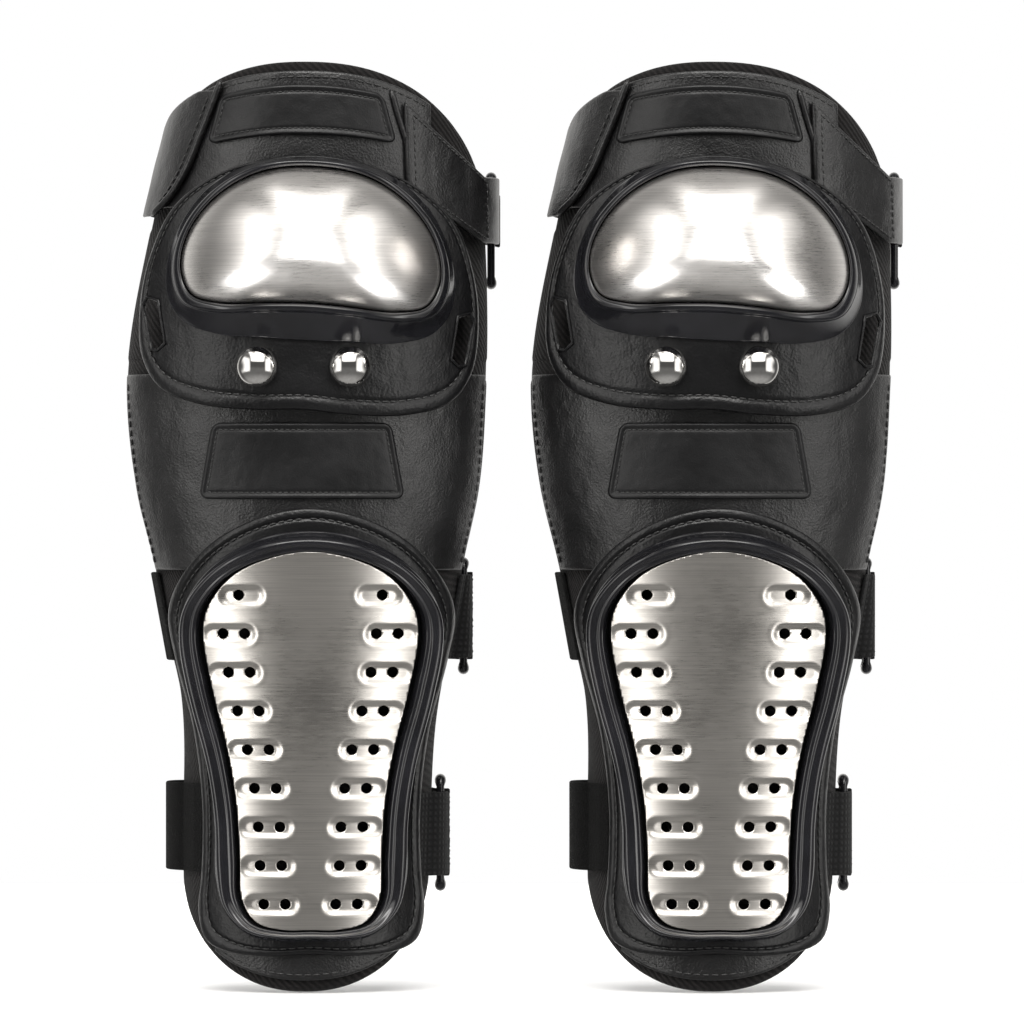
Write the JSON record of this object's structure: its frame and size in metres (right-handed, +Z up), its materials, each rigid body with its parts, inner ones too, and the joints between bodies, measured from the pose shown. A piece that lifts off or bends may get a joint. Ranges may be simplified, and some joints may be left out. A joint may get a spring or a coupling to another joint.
{
  "type": "knee guard pair",
  "caption": "Pair of motorcyclist's knee and shin guards: domed brushed-steel knee cup, pierced steel shin plate, stitched leather over padded fabric, elastic straps with loop buckles.",
  "frame": {"origin": "midway between the wearer's two knees, on the line that both knees bend about", "axes": "+Z up the thigh, +Y towards the back of the leg, +X towards the side of each guard that carries the buckles"},
  "size_m": [0.3376, 0.153, 0.399],
  "materials": {
    "knee_steel": "horizontally brushed",
    "shin_steel": "horizontally brushed, satin",
    "rivet_chrome": "polished",
    "gloss_black": "glossy",
    "moulded_flange": "moulded, fine grain",
    "leather": "matte, fine grain",
    "label_rubber": "matte",
    "sleeve_fabric": "twill weave",
    "elastic_webbing": "ribbed elastic",
    "loop_pile": "napped loop pile",
    "foam": "open-cell foam"
  },
  "bodies": {
    "left_shin": {"left_shin_lining": "sleeve_fabric", "left_middle_panel": "leather", "left_middle_label": "label_rubber", "left_foot_panel": "leather", "left_shin_flange": "moulded_flange", "left_shin_frame": "gloss_black", "left_shin_plate": "shin_steel", "left_middle_strap": "elastic_webbing", "left_middle_buckle_tab": "elastic_webbing", "left_lower_strap": "elastic_webbing", "left_lower_buckle_tab": "elastic_webbing"},
    "left_knee": {"left_knee_lining": "sleeve_fabric", "left_knee_flange": "moulded_flange", "left_knee_bezel": "gloss_black", "left_knee_cup": "knee_steel", "left_knee_foam": "foam", "left_knee_rivet_1": "rivet_chrome", "left_knee_rivet_2": "rivet_chrome"},
    "left_thigh": {"left_thigh_lining": "sleeve_fabric", "left_thigh_panel": "leather", "left_thigh_label": "label_rubber", "left_inner_side_panel": "leather", "left_buckle_side_panel": "leather", "left_thigh_strap": "elastic_webbing"},
    "left_thigh_buckle": {"left_thigh_buckle": "gloss_black"},
    "left_thigh_tongue": {"left_thigh_strap_tongue": "loop_pile"},
    "left_middle_buckle": {"left_middle_buckle": "gloss_black"},
    "left_middle_tongue": {"left_middle_strap_tongue": "loop_pile"},
    "left_lower_buckle": {"left_lower_buckle": "gloss_black"},
    "left_lower_tongue": {"left_lower_strap_tongue": "loop_pile"},
    "right_shin": {"right_shin_lining": "sleeve_fabric", "right_middle_panel": "leather", "right_middle_label": "label_rubber", "right_foot_panel": "leather", "right_shin_flange": "moulded_flange", "right_shin_frame": "gloss_black", "right_shin_plate": "shin_steel", "right_middle_strap": "elastic_webbing", "right_middle_buckle_tab": "elastic_webbing", "right_lower_strap": "elastic_webbing", "right_lower_buckle_tab": "elastic_webbing"},
    "right_knee": {"right_knee_lining": "sleeve_fabric", "right_knee_flange": "moulded_flange", "right_knee_bezel": "gloss_black", "right_knee_cup": "knee_steel", "right_knee_foam": "foam", "right_knee_rivet_1": "rivet_chrome", "right_knee_rivet_2": "rivet_chrome"},
    "right_thigh": {"right_thigh_lining": "sleeve_fabric", "right_thigh_panel": "leather", "right_thigh_label": "label_rubber", "right_inner_side_panel": "leather", "right_buckle_side_panel": "leather", "right_thigh_strap": "elastic_webbing"},
    "right_thigh_buckle": {"right_thigh_buckle": "gloss_black"},
    "right_thigh_tongue": {"right_thigh_strap_tongue": "loop_pile"},
    "right_middle_buckle": {"right_middle_buckle": "gloss_black"},
    "right_middle_tongue": {"right_middle_strap_tongue": "loop_pile"},
    "right_lower_buckle": {"right_lower_buckle": "gloss_black"},
    "right_lower_tongue": {"right_lower_strap_tongue": "loop_pile"}
  },
  "joints": [
    {"name": "left_knee_flex", "type": "hinge", "parent": "left_shin", "child": "left_knee", "pos_m": [-0.0874, 0, 0], "axis": [-1, 0, 0], "range_deg": [0, 30]},
    {"name": "left_thigh_flex", "type": "hinge", "parent": "left_knee", "child": "left_thigh", "pos_m": [-0.0874, 0, 0.066], "axis": [-1, 0, 0], "range_deg": [0, 20]},
    {"name": "left_thigh_buckle_swivel", "type": "hinge", "parent": "left_thigh", "child": "left_thigh_buckle", "pos_m": [-0.0074, 0.006, 0.061], "axis": [0, 0, 1], "range_deg": [-4, 4]},
    {"name": "left_thigh_tongue_peel", "type": "hinge", "parent": "left_thigh", "child": "left_thigh_tongue", "pos_m": [-0.0034, 0.0244, 0.061], "axis": [0, 0, -1], "range_deg": [0, 60]},
    {"name": "left_middle_buckle_swivel", "type": "hinge", "parent": "left_shin", "child": "left_middle_buckle", "pos_m": [-0.0194, 0.006, -0.106], "axis": [0, 0, 1], "range_deg": [-4, 4]},
    {"name": "left_middle_tongue_peel", "type": "hinge", "parent": "left_shin", "child": "left_middle_tongue", "pos_m": [-0.0154, 0.0244, -0.106], "axis": [0, 0, -1], "range_deg": [0, 60]},
    {"name": "left_lower_buckle_swivel", "type": "hinge", "parent": "left_shin", "child": "left_lower_buckle", "pos_m": [-0.0294, 0.006, -0.2], "axis": [0, 0, 1], "range_deg": [-4, 4]},
    {"name": "left_lower_tongue_peel", "type": "hinge", "parent": "left_shin", "child": "left_lower_tongue", "pos_m": [-0.0254, 0.0244, -0.2], "axis": [0, 0, -1], "range_deg": [0, 60]},
    {"name": "right_knee_flex", "type": "hinge", "parent": "right_shin", "child": "right_knee", "pos_m": [0.0874, 0, 0], "axis": [-1, 0, 0], "range_deg": [0, 30]},
    {"name": "right_thigh_flex", "type": "hinge", "parent": "right_knee", "child": "right_thigh", "pos_m": [0.0874, 0, 0.066], "axis": [-1, 0, 0], "range_deg": [0, 20]},
    {"name": "right_thigh_buckle_swivel", "type": "hinge", "parent": "right_thigh", "child": "right_thigh_buckle", "pos_m": [0.1674, 0.006, 0.061], "axis": [0, 0, 1], "range_deg": [-4, 4]},
    {"name": "right_thigh_tongue_peel", "type": "hinge", "parent": "right_thigh", "child": "right_thigh_tongue", "pos_m": [0.1714, 0.0244, 0.061], "axis": [0, 0, -1], "range_deg": [0, 60]},
    {"name": "right_middle_buckle_swivel", "type": "hinge", "parent": "right_shin", "child": "right_middle_buckle", "pos_m": [0.1554, 0.006, -0.106], "axis": [0, 0, 1], "range_deg": [-4, 4]},
    {"name": "right_middle_tongue_peel", "type": "hinge", "parent": "right_shin", "child": "right_middle_tongue", "pos_m": [0.1594, 0.0244, -0.106], "axis": [0, 0, -1], "range_deg": [0, 60]},
    {"name": "right_lower_buckle_swivel", "type": "hinge", "parent": "right_shin", "child": "right_lower_buckle", "pos_m": [0.1454, 0.006, -0.2], "axis": [0, 0, 1], "range_deg": [-4, 4]},
    {"name": "right_lower_tongue_peel", "type": "hinge", "parent": "right_shin", "child": "right_lower_tongue", "pos_m": [0.1494, 0.0244, -0.2], "axis": [0, 0, -1], "range_deg": [0, 60]},
    {"name": "right_guard_lift", "type": "slide", "parent": "left_shin", "child": "right_shin", "axis": [0, 0, 1], "range_m": [0, 0.2]}
  ],
  "couplings": [
    {"joint": "left_thigh_flex", "follows": "left_knee_flex", "ratio": 0.6},
    {"joint": "right_thigh_flex", "follows": "right_knee_flex", "ratio": 0.6}
  ]
}
